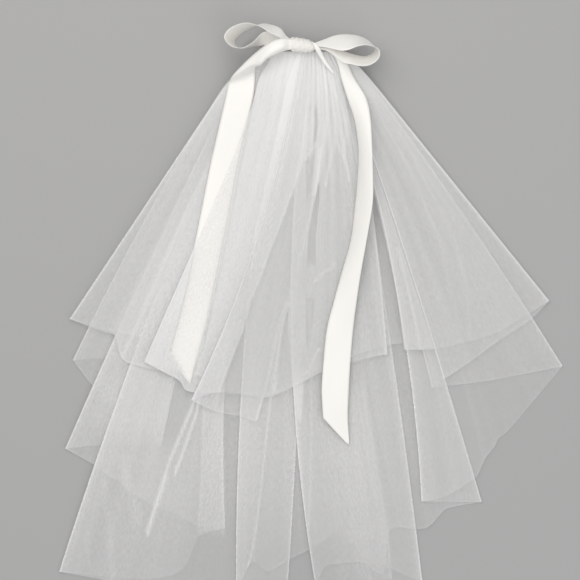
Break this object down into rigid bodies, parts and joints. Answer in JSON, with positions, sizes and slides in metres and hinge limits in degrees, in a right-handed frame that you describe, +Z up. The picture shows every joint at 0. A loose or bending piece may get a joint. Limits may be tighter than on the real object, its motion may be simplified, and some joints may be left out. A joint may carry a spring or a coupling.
{
  "type": "bridal veil",
  "caption": "Short bridal veil laid flat: layered sheer tulle tiers gathered on a comb under a satin ribbon bow with long tails",
  "frame": {"origin": "the middle of the veil in plan, on the surface it lies on", "axes": "+Z up from the surface, +Y from the hems towards the bow, +X to the right seen from above with the bow at the top"},
  "size_m": [0.6724, 0.7607, 0.0573],
  "materials": {
    "tulle": "sheer",
    "satin": "satin",
    "clear_plastic": "gloss"
  },
  "bodies": {
    "root": {"lower_tier": "tulle", "upper_tier": "tulle", "comb": "clear_plastic", "bow_knot": "satin", "bow_loop_left": "satin", "bow_loop_right": "satin", "bow_tail_left": "satin", "bow_tail_right": "satin", "bow_strand": "satin"}
  },
  "joints": []
}
